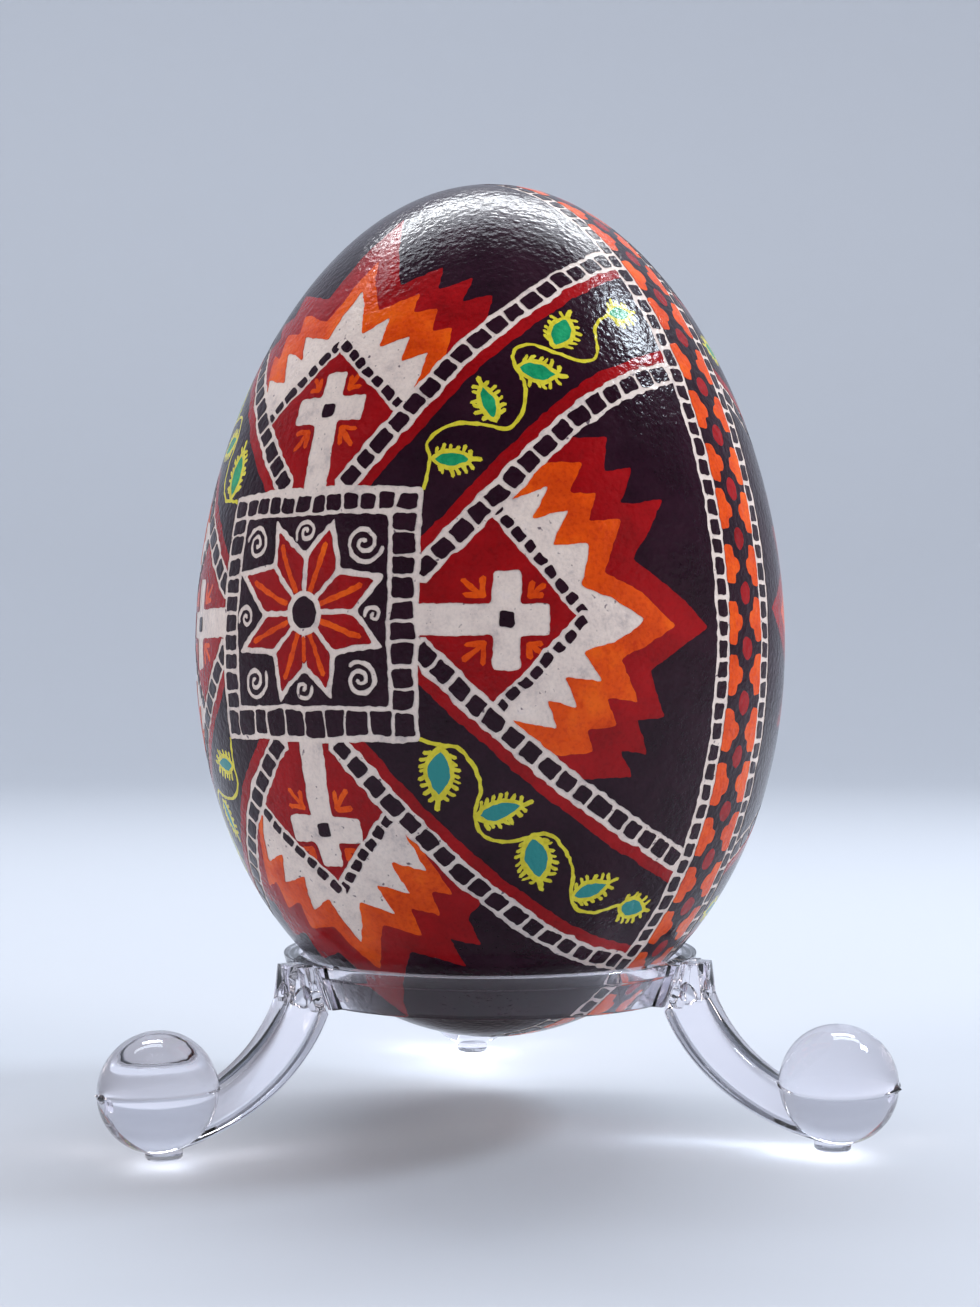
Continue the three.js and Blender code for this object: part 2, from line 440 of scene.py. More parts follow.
UP_ARM = {
    "corners": [(-10.0, 18.3), (-0.8, 26.5), (8.9, 18.8)],
    "white": [
        (-11.0, 19.4), (-13.4, 23.4), (-9.0, 22.6), (-11.1, 26.3), (-6.8, 24.9), (-8.5, 27.8), (-3.5, 26.9),
        (-2.4, 30.0), (-0.9, 32.6), (0.6, 30.0), (1.8, 27.0), (5.2, 28.7), (4.7, 25.4), (8.4, 26.5),
        (7.8, 23.5), (10.9, 24.6), (10.0, 21.4), (9.6, 19.6),
    ],
    "orange": [
        (-11.5, 19.9), (-15.2, 26.4), (-12.9, 25.8), (-13.8, 28.6), (-10.3, 28.2), (-11.4, 30.6),
        (-4.9, 29.0), (-3.2, 32.4), (-0.7, 36.4), (1.4, 32.4), (3.2, 29.7), (8.6, 31.4), (8.1, 29.0),
        (11.3, 29.4), (10.9, 26.9), (13.3, 27.2), (13.0, 24.0), (10.0, 20.0),
    ],
    "red": [
        (-12.0, 20.0), (-19.5, 27.2), (-16.6, 28.6), (-19.5, 30.6), (-15.4, 30.9), (-17.0, 33.9),
        (-7.4, 32.0), (-5.3, 37.0), (-1.9, 43.2), (2.2, 38.4), (5.3, 32.5), (11.1, 34.8), (11.0, 31.6),
        (15.6, 33.0), (14.3, 30.0), (18.4, 31.0), (17.2, 27.0), (11.0, 20.0),
    ],
    "middle": 19.1,
    "shift": 0.1,
}
DOWN_ARM = {
    "corners": [(8.2, -18.9), (0.2, -27.2), (-8.6, -18.8)],
    "white": [
        (8.9, -20.2), (11.3, -24.5), (7.3, -23.4), (9.0, -26.9), (5.0, -26.0), (6.7, -29.2), (2.4, -27.9),
        (1.6, -30.4), (0.1, -33.2), (-1.5, -30.4), (-2.3, -27.9), (-6.1, -29.4), (-4.9, -25.6),
        (-9.1, -26.7), (-7.5, -23.4), (-11.0, -24.4), (-9.3, -20.2),
    ],
    "orange": [
        (9.3, -20.0), (14.0, -26.8), (11.4, -26.5), (12.2, -29.3), (8.7, -28.4), (9.4, -31.8),
        (4.4, -30.5), (2.8, -33.4), (0.7, -36.6), (-1.6, -34.0), (-3.6, -31.2), (-8.6, -31.8),
        (-8.0, -28.8), (-11.7, -29.7), (-11.0, -26.6), (-13.8, -27.3), (-9.6, -19.8),
    ],
    "red": [
        (10.0, -20.4), (17.0, -27.8), (15.3, -29.3), (16.8, -32.7), (12.8, -31.8), (14.7, -35.6),
        (7.0, -33.6), (4.2, -38.0), (0.4, -43.5), (-3.4, -38.4), (-5.6, -34.6), (-11.8, -36.2),
        (-11.0, -32.6), (-16.4, -33.6), (-15.2, -29.6), (-18.4, -28.0), (-10.0, -20.0),
    ],
    "middle": 20.5,
    "shift": 0.1,
}
LEFT_ARM = {
    name: [(-x, -0.9 - y) for x, y in RIGHT_ARM[name]] for name in ("corners", "white", "orange", "red")
}
LEFT_ARM["middle"] = 19.6
LEFT_ARM["shift"] = 0.9


def arm(place, direction, design):
    """One arm of the face: flames, then a red diamond with its cross, then its two far sides."""
    corners = design["corners"]
    for colour in ("red", "orange", "white"):
        fill(colour, design[colour] + corners[::-1], place)
    base = across_points(direction, [(10.5, -3.5), (10.5, 3.5)])
    fill("red", base + corners, place)
    cross(place, direction, design["middle"], design["shift"])
    for start, end in ((corners[0], corners[1]), (corners[1], corners[2])):
        path = spaced([start, end], 0.5)
        ladder(place(path), 1.65, 1.55, line=0.36)


# The diagonal bands: the middle lines of the ladders along their two sides, from the square outward.
BANDS = [
    {
        "outer": [(3.2, 11.3), (9.0, 17.9), (15.2, 24.6), (23.3, 30.5), (31.4, 34.5), (42.0, 38.0)],
        "inner": [(11.3, 3.0), (17.5, 9.2), (24.0, 15.5), (31.2, 20.4), (42.5, 24.2)],
    },
    {
        "outer": [(2.9, -12.0), (9.6, -19.3), (15.9, -25.4), (23.9, -31.0), (31.5, -34.2), (42.0, -36.6)],
        "inner": [(11.3, -3.4), (17.4, -9.3), (24.4, -15.1), (32.7, -20.4), (42.5, -25.0)],
    },
    {
        "outer": [(-3.8, 11.4), (-10.0, 17.8), (-15.6, 23.0), (-24.0, 29.4), (-32.0, 33.4), (-42.0, 37.0)],
        "inner": [(-11.6, 2.1), (-14.8, 4.8), (-19.6, 9.3), (-27.0, 15.6), (-42.5, 23.6)],
    },
    {
        "outer": [(-3.6, -12.0), (-10.4, -19.0), (-16.8, -26.0), (-24.4, -31.4), (-42.0, -37.0)],
        "inner": [(-11.8, -3.3), (-14.4, -6.0), (-19.6, -11.2), (-27.0, -17.4), (-42.5, -25.0)],
    },
]

# A vine: its stem, then each leaf's foot, tip, and the width and number of teeth of its edge.
RIGHT_UPPER_VINE = {
    "stem": [
        (11.6, 10.9), (12.0, 13.6), (11.8, 15.4), (13.8, 16.9), (16.8, 17.1), (19.6, 16.5), (21.3, 18.2),
        (21.6, 20.8), (20.6, 23.2), (20.8, 24.7), (22.6, 25.4), (25.0, 24.7), (27.4, 23.8), (29.8, 23.9),
        (30.7, 25.3), (31.0, 27.6), (33.2, 29.2),
    ],
    "leaves": [
        ((12.0, 13.7), (17.0, 13.5), 2.1), ((18.6, 17.1), (16.7, 21.7), 2.0), ((20.7, 22.8), (26.4, 21.9), 2.4),
        ((25.3, 24.9), (28.0, 29.3), 2.6), ((33.2, 29.2), (38.2, 29.8), 2.3),
    ],
}
RIGHT_LOWER_VINE = {
    "stem": [
        (11.3, -11.8), (13.3, -12.2), (15.0, -12.5), (16.5, -14.2), (16.9, -16.4), (16.5, -18.4),
        (17.1, -20.4), (18.7, -21.3), (20.9, -21.1), (22.8, -20.6), (24.6, -21.0), (26.2, -22.9),
        (26.9, -25.1), (26.9, -26.9), (28.0, -28.5), (29.9, -29.1), (31.6, -28.9), (33.6, -28.4),
    ],
    "leaves": [
        ((13.4, -12.2), (12.9, -18.2), 2.8), ((16.5, -19.0), (21.9, -17.5), 2.3),
        ((22.0, -20.5), (23.6, -26.4), 2.9), ((26.9, -27.4), (32.4, -25.3), 2.3),
        ((33.4, -28.6), (38.4, -29.2), 2.7),
    ],
}


def half_turned(vine, shift):
    """The same vine turned half round the middle of the face, and moved a little."""
    def turn(point):
        return (shift[0] - point[0], shift[1] - point[1])
    return {
        "stem": [turn(point) for point in vine["stem"]],
        "leaves": [(turn(foot), turn(tip), width) for foot, tip, width in vine["leaves"]],
    }


VINES = [
    RIGHT_UPPER_VINE,
    RIGHT_LOWER_VINE,
    half_turned(RIGHT_LOWER_VINE, (-0.7, -1.2)),
    half_turned(RIGHT_UPPER_VINE, (-0.6, -1.0)),
]


# How far apart the teeth of a leaf's edge are.
TOOTH_PITCH = 0.72


def leaf(place, foot, tip, width):
    """A green leaf inside a yellow edge with teeth."""
    spine = spaced(place([foot, ((foot[0] + tip[0]) / 2, (foot[1] + tip[1]) / 2), tip]), 0.1)
    aside = sideways(spine)
    count = len(spine)
    length = np.linalg.norm(spine[-1] - spine[0])

    def almond(start, end, half):
        share = np.linspace(0, 1, 15)
        stations = start + (end - start) * share
        bulge = half * np.sin(math.pi * share ** 0.9) ** 0.8
        index = np.clip((stations * (count - 1)).astype(int), 0, count - 1)
        left = spine[index] + bulge[:, None] * aside[index]
        right = spine[index] - bulge[:, None] * aside[index]
        return np.vstack([left, right[::-1][1:-1]])

    paint("yellow", spaced(almond(0.0, 0.9, width / 2), 0.25, closed=True))
    forward = (spine[-1] - spine[0]) / length
    teeth = int(length / TOOTH_PITCH)
    for side in (-1, 1):
        for tooth in range(teeth):
            share = 0.1 + 0.78 * (tooth + hand.uniform(0.25, 0.6)) / teeth
            index = int(share * (count - 1))
            reach = (width / 2 - 0.12) * math.sin(math.pi * min(share / 0.9, 1) ** 0.9) ** 0.8
            root = spine[index] + side * reach * aside[index]
            out = side * aside[index] + hand.uniform(0.1, 0.3 + share) * forward
            end = root + out / np.linalg.norm(out) * hand.uniform(0.42, 0.72)
            stroke("yellow", np.array([root, (root + end) / 2, end]), 0.36, step=0.2)
    point = spine[int(0.84 * (count - 1))]
    stroke("yellow", np.array([point, (point + spine[-1]) / 2, spine[-1]]), 0.42, step=0.2)
    paint("green", spaced(almond(0.11, 0.78, width / 2 - 0.42), 0.22, closed=True))


def diagonal_band(place, band, vine):
    """A black band with a vine, a red stripe inside each edge, and a ladder along each edge."""
    outer = smooth_path(band["outer"])
    inner = smooth_path(band["inner"])
    fill("black", np.vstack([outer, inner[::-1]]), place)
    turn = np.cross(outer[-1] - outer[0], inner[-1] - outer[0])
    side = 1 if turn > 0 else -1
    for line, towards in ((outer, side), (inner, -side)):
        path = place(spaced(line, 0.5))
        stroke("red", shifted(spaced(path, 0.5), towards * 1.6), 1.3, step=0.4)
        ladder(path, 2.35, 2.2)
    stroke("yellow", place(smooth_path(vine["stem"], 8)), 0.34, step=0.25)
    for foot, tip, width in vine["leaves"]:
        leaf(place, foot, tip, width)


def face(azimuth):
    place = on_face(azimuth)
    for direction, design in (("left", LEFT_ARM), ("up", UP_ARM), ("down", DOWN_ARM), ("right", RIGHT_ARM)):
        arm(place, direction, design)
    for band, vine in zip(BANDS, VINES):
        diagonal_band(place, band, vine)
    square(place)


# ------------------------------------------------------------------ the lengthwise band

BAND_EDGE = 3.95
BAND_LADDER = 2.1
FLOWER_PITCH = 5.18
# A half-flower with three lobes: (out from the ladder, along the ladder).
HALF_FLOWER = [
    (-0.1, -1.95), (1.15, -2.0), (1.4, -1.2), (1.35, -0.85), (2.05, -0.7), (2.3, 0.0), (2.05, 0.7),
    (1.35, 0.85), (1.4, 1.2), (1.15, 2.0), (-0.1, 1.95),
]
# The band's drawing stops this far from the blow hole's middle.
BAND_END = 6.0


def ellipse(centre, radius_x, radius_y, points=14):
    turns = np.linspace(0, 2 * math.pi, points, endpoint=False)
    return np.stack([centre[0] + radius_x * np.cos(turns), centre[1] + radius_y * np.sin(turns)], 1)


def lengthwise_band():
    """The band over both ends: a ladder along each edge, half-flowers inside them, and red dots."""
    reach = MERIDIAN_LENGTH - 1.0
    for start in np.linspace(-reach, reach, 13)[:-1]:
        end = start + 2 * reach / 12
        strip = [(-BAND_EDGE, start), (BAND_EDGE, start), (BAND_EDGE, end), (-BAND_EDGE, end)]
        fill("black", strip, on_band)
    for side in (-1, 1):
        path = [(side * BAND_EDGE, along) for along in np.arange(-reach, reach, 0.5)]
        ladder(on_band(path), BAND_LADDER, 1.93)
    count = int((MERIDIAN_LENGTH - BAND_END) / FLOWER_PITCH)
    rail = BAND_EDGE - BAND_LADDER / 2 - 0.02
    for index in range(-count, count + 1):
        along = (index + 0.42) * FLOWER_PITCH + hand.uniform(-0.15, 0.15)
        for side in (-1, 1):
            at = along + hand.uniform(-0.2, 0.2)
            tall = hand.uniform(0.94, 1.06)
            flower = [(side * (rail - x), at + tall * y) for x, y in HALF_FLOWER]
            fill("orange", flower, on_band, step=0.25)
        dot = ellipse((hand.uniform(-0.1, 0.1), along + FLOWER_PITCH / 2), 0.95, 1.15)
        fill("red", dot, on_band)


def draw_everything():
    face(FRONT_AZIMUTH)
    face(BACK_AZIMUTH)
    lengthwise_band()



# ------------------------------------------------------------------ from outlines to skins of dye

# How far apart the loose points are that let the skins follow the egg's curve.
SURFACE_STEP = 1.15
# How deep the bare shell lies under the dyed surface.
SHELL_INSET = 0.045
HOLE_ANGLE = math.pi - BLOW_HOLE_RADIUS / (EGG_RADIUS * girth(-1))


def flattened(direction):
    """The whole ball but its lowest point, laid flat."""
    return direction[:, :2] / (1 + direction[:, 2:])


def ball_point(flat):
    """The ball's points from their flat places: the reverse of flattened."""
    squared = (flat**2).sum(1)
    spread = 1 + squared
    return np.stack([2 * flat[:, 0] / spread, 2 * flat[:, 1] / spread, (1 - squared) / spread], 1)


def anticlockwise(outline):
    x, y = outline[:, 0], outline[:, 1]
    return outline if np.sum(x * np.roll(y, -1) - y * np.roll(x, -1)) > 0 else outline[::-1]


def scattered_points():
    """Points spread evenly over the ball, down to the blow hole."""
    area = 4 * math.pi * EGG_RADIUS * EGG_HALF_HEIGHT
    count = int(area / SURFACE_STEP**2)
    index = np.arange(count) + 0.5
    up = 1 - 2 * index / count
    turn = index * math.pi * (3 - math.sqrt(5))
    side = np.sqrt(1 - up**2)
    points = np.stack([side * np.cos(turn), side * np.sin(turn), up], 1)
    return points[up > math.cos(HOLE_ANGLE - 0.02)]


def coloured_triangles():
    """Cuts the egg into triangles along every outline. Each takes the colour painted over it last."""
    turns = np.linspace(0, 2 * math.pi, 48, endpoint=False)
    ground = math.tan(HOLE_ANGLE / 2) * np.stack([np.cos(turns), np.sin(turns)], 1)
    outlines = [ground] + [anticlockwise(outline) for _, outline in shapes]
    colours = ["black"] + [colour for colour, _ in shapes]
    faces = []
    first = 0
    for outline in outlines:
        faces.append(list(range(first, first + len(outline))))
        first += len(outline)
    flat = np.vstack(outlines + [flattened(scattered_points())])
    points = [Vector(point) for point in flat]
    points, _, triangles, _, _, painted = delaunay_2d_cdt(points, [], faces, 0, 1e-6, True)
    kept = [index for index, layers in enumerate(painted) if 0 in layers]
    colour = np.array([colours[max(painted[index])] for index in kept])
    triangles = np.array([triangles[index] for index in kept])
    return ball_point(np.array([tuple(point) for point in points])), triangles, colour


def separated(triangles):
    """Renumbers the corners so that triangles share a point only where they share an edge there."""
    parent = list(range(3 * len(triangles)))

    def root(corner):
        while parent[corner] != corner:
            parent[corner] = parent[parent[corner]]
            corner = parent[corner]
        return corner

    first_seen = {}
    for index, triangle in enumerate(triangles):
        for side in range(3):
            following = (side + 1) % 3
            edge = (triangle[side], triangle[following])
            here = (3 * index + side, 3 * index + following)
            there = first_seen.pop((edge[1], edge[0]), None)
            if there is None:
                first_seen[edge] = here
            else:
                parent[root(here[0])] = root(there[1])
                parent[root(here[1])] = root(there[0])
    roots = np.array([root(corner) for corner in range(len(parent))])
    kept, renumbered = np.unique(roots, return_inverse=True)
    rim = [(renumbered[a], renumbered[b]) for a, b in first_seen.values()]
    return triangles.reshape(-1)[kept], renumbered.reshape(-1, 3), np.array(rim)


def in_frame(points):
    """Points from the egg's centre in millimetres, as places in the row frame in metres."""
    return (points + np.array([AXIS_X, AXIS_Y, EGG_CENTRE_Z])) * MM


def new_object(name, points, faces, body, stands_for, material):
    """Makes a piece from points in metres, hangs it on its body, and hides the CAD part that it stands for."""
    mesh = bpy.data.meshes.new(name)
    mesh.from_pydata([tuple(point) for point in points], [], [tuple(map(int, face)) for face in faces])
    mesh.validate()
    mesh.polygons.foreach_set("use_smooth", [True] * len(mesh.polygons))
    mesh.materials.append(material)
    piece = bpy.data.objects.new(name, mesh)
    bpy.context.scene.collection.objects.link(piece)
    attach(piece, body)
    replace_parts(piece, stands_for)
    return piece


def film(name, direction, triangles, material):
    """A thin closed skin of one dye, smooth to the light as the egg itself is."""
    used, inner_faces, rim = separated(triangles)
    direction = direction[used]
    count = len(used)
    points = np.vstack([egg_point(direction), egg_point(direction, SKIN_THICKNESS)])
    under = inner_faces[:, ::-1] + count
    walls = np.stack([rim[:, 1], rim[:, 0], rim[:, 0] + count, rim[:, 1] + count], 1)
    faces = [*inner_faces, *under, *walls]
    piece = new_object(name, in_frame(points), faces, "egg", "eggshell", material)
    outward = egg_normal(direction)
    across = points[rim[:, 1]] - points[rim[:, 0]]
    wall_normals = np.cross(across, outward[rim[:, 0]])
    wall_normals /= np.maximum(np.linalg.norm(wall_normals, axis=1), 1e-12)[:, None]
    normals = np.vstack([
        outward[inner_faces.reshape(-1)],
        -outward[inner_faces[:, ::-1].reshape(-1)],
        np.repeat(wall_normals, 4, axis=0),
    ])
    if len(piece.data.loops) == len(normals):
        piece.data.normals_split_custom_set([tuple(normal) for normal in normals])
    return piece


# ------------------------------------------------------------------ turned pieces


def revolved(profile, segments):
    """Points and faces of a closed profile of (radius, height) turned about the egg's axis."""
    points = []
    rings = []
    for radius, height in profile:
        if radius < 1e-6:
            rings.append([len(points)] * segments)
            points.append((0.0, 0.0, height))
            continue
        rings.append(list(range(len(points), len(points) + segments)))
        for segment in range(segments):
            turn = 2 * math.pi * segment / segments
            points.append((radius * math.cos(turn), radius * math.sin(turn), height))
    faces = []
    for ring, following in zip(rings, rings[1:] + rings[:1]):
        for segment in range(segments):
            after = (segment + 1) % segments
            corners = [ring[segment], ring[after], following[after], following[segment]]
            corners = list(dict.fromkeys(corners))
            if len(corners) > 2:
                faces.append(corners)
    return np.array(points), faces


def hollow_egg_profile(inset_distance, thickness, rows):
    """The outline of a hollow egg, round the lip of its blow hole."""

    def side(depth):
        hole = math.pi - math.asin(BLOW_HOLE_RADIUS / (EGG_RADIUS * girth(-1)))
        angles = np.linspace(hole, 0, rows)
        direction = np.stack([np.sin(angles), 0 * angles, np.cos(angles)], 1)
        points = egg_point(direction, depth)
        points[-1, 0] = 0
        return [(point[0], point[2]) for point in points]

    outer = side(inset_distance)
    inner = side(inset_distance + thickness)[::-1]
    middle = ((outer[0][0] + inner[-1][0]) / 2 - 0.12, (outer[0][1] + inner[-1][1]) / 2)
    return outer + inner + [middle]


# ------------------------------------------------------------------ the clear stand

# The stand's sizes in millimetres, from its own middle, with the surface it stands on at zero.
RING_TOP_Z = 16.9
RING_BOTTOM_Z = 12.65
LIP_BOTTOM_Z = 15.6
WELD_TURN = math.radians(-87)
LEG_ANGLES = {"leg_front_left": 210, "leg_front_right": 330, "leg_back": 90}
LEG_THICKNESS = 4.0
LEG_EDGE_RADIUS = 0.55
BALL_RADIUS = 5.65
BALL_PLACE = Vector((37.0, 0, 6.2))
PAD_RADIUS = 1.75
PAD_PLACE_X = 36.4
PAD_TOP_Z = 1.3
STAND_PLACE = Vector((AXIS_X, AXIS_Y, 0))


def loose_object(points, faces):
    """A mesh in millimetres that other shapes are joined to or cut from."""
    mesh = bpy.data.meshes.new("shape")
    mesh.from_pydata([tuple(point) for point in points], [], [tuple(face) for face in faces])
    shape = bmesh.new()
    shape.from_mesh(mesh)
    bmesh.ops.recalc_face_normals(shape, faces=shape.faces)
    shape.to_mesh(mesh)
    shape.free()
    item = bpy.data.objects.new("shape", mesh)
    bpy.context.scene.collection.objects.link(item)
    return item


def combined(item, others, operation):
    """Joins the others to the item, or cuts them from it, and removes them."""
    for other in others:
        modifier = item.modifiers.new("combine", "BOOLEAN")
        modifier.operation = operation
        modifier.solver = "EXACT"
        modifier.object = other
        evaluated = item.evaluated_get(bpy.context.evaluated_depsgraph_get())
        mesh = bpy.data.meshes.new_from_object(evaluated)
        item.modifiers.clear()
        item.data = mesh
        bpy.data.objects.remove(other)
    return item


def bezier(start, first, second, end, steps):
    points = []
    for step in range(steps + 1):
        t = step / steps
        weights = ((1 - t) ** 3, 3 * t * (1 - t) ** 2, 3 * t**2 * (1 - t), t**3)
        x = sum(weight * point[0] for weight, point in zip(weights, (start, first, second, end)))
        z = sum(weight * point[1] for weight, point in zip(weights, (start, first, second, end)))
        points.append((x, z))
    return points


def plate(outline, thickness, offset=0.0, edge=0.3, segments=3):
    """A flat plate standing over the X axis, with rounded edges."""
    shape = bmesh.new()
    near = [shape.verts.new((x, offset - thickness / 2, z)) for x, z in outline]
    face = shape.faces.new(near)
    pushed = bmesh.ops.extrude_face_region(shape, geom=[face])
    moved = [item for item in pushed["geom"] if isinstance(item, bmesh.types.BMVert)]
    bmesh.ops.translate(shape, vec=(0, thickness, 0), verts=moved)
    bmesh.ops.recalc_face_normals(shape, faces=shape.faces)
    long_edges = [line for line in shape.edges if abs(line.verts[0].co.y - line.verts[1].co.y) < 1e-6]
    bmesh.ops.bevel(
        shape, geom=long_edges, offset=edge, segments=segments, affect="EDGES", profile=0.5,
        clamp_overlap=True,
    )
    mesh = bpy.data.meshes.new("plate")
    shape.to_mesh(mesh)
    shape.free()
    item = bpy.data.objects.new("plate", mesh)
    bpy.context.scene.collection.objects.link(item)
    return item


def rounded_profile(corners, radius, steps=3):
    """A closed profile with each corner cut to a short arc."""
    corners = [Vector(corner) for corner in corners]
    points = []
    for index, corner in enumerate(corners):
        before = corners[index - 1] - corner
        after = corners[(index + 1) % len(corners)] - corner
        reach = min(radius, before.length / 2.2, after.length / 2.2)
        start = corner + before.normalized() * reach
        end = corner + after.normalized() * reach
        for step in range(steps + 1):
            t = step / steps
            point = start * (1 - t) ** 2 + corner * 2 * t * (1 - t) + end * t**2
            points.append((point.x, point.y))
    return points


def placed(item, degrees):
    """Turns a finished shape about the stand's middle and puts it in the row frame, in metres."""
    turn = math.radians(degrees)
    for vertex in item.data.vertices:
        x, y, z = vertex.co
        turned = Vector((x * math.cos(turn) - y * math.sin(turn), x * math.sin(turn) + y * math.cos(turn), z))
        vertex.co = (turned + STAND_PLACE) * MM
    return item


def finished(item, name, material, sharp=32):
    """Gives a stand shape its name, its shading and its body."""
    item.name = name
    item.data.name = name
    item.data.materials.clear()
    item.data.materials.append(material)
    item.data.polygons.foreach_set("use_smooth", [True] * len(item.data.polygons))
    item.data.set_sharp_from_angle(angle=math.radians(sharp))
    # Lamps shine through clear plastic, where a cast shadow would be as dark as a solid piece's.
    item.visible_shadow = False
    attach(item, "stand")
    return item


# A ball's parting seam: how far it stands out, how wide it is and how much it tilts.
SEAM_HEIGHT = 0.15
SEAM_HALF_WIDTH = 0.11
SEAM_TILT = math.radians(4)
GATE_HEIGHT = 0.3
GATE_HALF_WIDTH = 0.35


def ball():
    """A leg's ball: two moulded halves that meet in a slightly tilted seam, and a small gate mark."""
    columns = 72
    coarse = np.linspace(0, math.pi / 2 - 0.12, 22)
    fine = np.linspace(math.pi / 2 - 0.09, math.pi / 2, 9)
    angles = np.concatenate([coarse, fine, math.pi - fine[-2::-1], math.pi - coarse[::-1]])[1:-1]
    tilt = Matrix.Rotation(SEAM_TILT, 3, "X")
    points = [Vector((0, 0, BALL_RADIUS))]
    for angle in angles:
        height = BALL_RADIUS * math.cos(angle)
        seam = SEAM_HEIGHT * math.exp(-((height / SEAM_HALF_WIDTH) ** 2))
        for column in range(columns):
            turn = 2 * math.pi * column / columns
            sideways_place = BALL_RADIUS * math.remainder(turn, 2 * math.pi)
            gate = GATE_HEIGHT * math.exp(-(sideways_place**2 + height**2) / GATE_HALF_WIDTH**2)
            reach = BALL_RADIUS * math.sin(angle) + seam + gate
            points.append(Vector((reach * math.cos(turn), reach * math.sin(turn), height)))
    points.append(Vector((0, 0, -BALL_RADIUS)))
    faces = []
    for column in range(columns):
        after = (column + 1) % columns
        faces.append((0, 1 + column, 1 + after))
        for row in range(len(angles) - 1):
            here = 1 + row * columns
            below = here + columns
            faces.append((here + column, below + column, below + after, here + after))
        base = 1 + (len(angles) - 1) * columns
        faces.append((base + column, len(points) - 1, base + after))
    return loose_object([tilt @ point + BALL_PLACE for point in points], faces)


def leg(name, degrees, material):
    """A leg: a curved plate with rounded edges, a ball on its end and a round pad under the ball."""
    outline = bezier((19.8, 12.1), (21.6, 7.8), (26.8, 2.2), (36.5, 0.75), 26)
    outline.append((37.0, 6.2))
    outline += bezier((31.75, 6.0), (27.2, 8.0), (23.9, 12.2), (23.25, 16.9), 26)
    outline += [(21.5, 16.9), (21.2, 15.6)]
    item = plate(outline, LEG_THICKNESS, edge=LEG_EDGE_RADIUS, segments=4)
    pad = [(0, 0), (PAD_RADIUS - 0.15, 0), (PAD_RADIUS, 0.15), (PAD_RADIUS, PAD_TOP_Z), (0, PAD_TOP_Z)]
    pad_points, pad_faces = revolved(pad, 40)
    foot = loose_object(pad_points + np.array([PAD_PLACE_X, 0, 0]), pad_faces)
    # The thick head of the leg, whose flat outer face ends in a step.
    head = [(21.6, 13.3), (23.95, 13.3), (23.5, 16.88), (21.8, 16.88)]
    block = plate(head, LEG_THICKNESS + 0.16, edge=0.08, segments=2)
    combined(item, [block, ball(), foot], "UNION")
    # A drop-shaped hollow in each side, where the head snaps between the ring's cheeks.
    for side in (-1, 1):
        drop_profile = [(0, 1.15), (0.55, 0.85), (0.95, 0.2), (1.0, -0.35), (0.55, -1.0), (0, -1.15)]
        points, faces = revolved(drop_profile, 24)
        points[:, 1] *= 0.75
        drop = loose_object(points + np.array([21.4, side * LEG_THICKNESS / 2, 13.6]), faces)
        combined(item, [drop], "DIFFERENCE")
    placed(item, degrees)
    finished(item, name + "_clear", material)
    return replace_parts(item, name)


def ring(material):
    """The ring: a thin tapered wall with a lip round its top, and two cheeks at each leg."""
    section = [
        (18.2, RING_BOTTOM_Z), (19.5, RING_BOTTOM_Z), (20.5, LIP_BOTTOM_Z),
        (20.9, LIP_BOTTOM_Z + 0.05), (21.2, RING_TOP_Z), (19.6, RING_TOP_Z),
    ]
    points, faces = revolved(rounded_profile(section, 0.22), 180)
    item = loose_object(points, faces)
    outline = [(19.2, 12.7), (20.3, 12.7), (21.9, 16.85), (20.9, 16.85)]
    for degrees in LEG_ANGLES.values():
        for side in (-1, 1):
            cheek = plate(outline, 1.0, side * (LEG_THICKNESS / 2 + 0.8), edge=0.06, segments=2)
            cheek.rotation_euler.z = math.radians(degrees)
            bpy.context.view_layer.update()
            combined(item, [cheek], "UNION")
    # The faint upright line at the front where the plastic met in the mould.
    weld = plate([(19.2, 13.2), (19.78, 13.2), (20.48, 15.3), (20.0, 15.3)], 0.14, edge=0.02, segments=1)
    weld.rotation_euler.z = WELD_TURN
    bpy.context.view_layer.update()
    combined(item, [weld], "UNION")
    placed(item, 0)
    finished(item, "stand_ring_clear", material)
    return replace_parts(item, "stand_ring")


# ------------------------------------------------------------------ materials


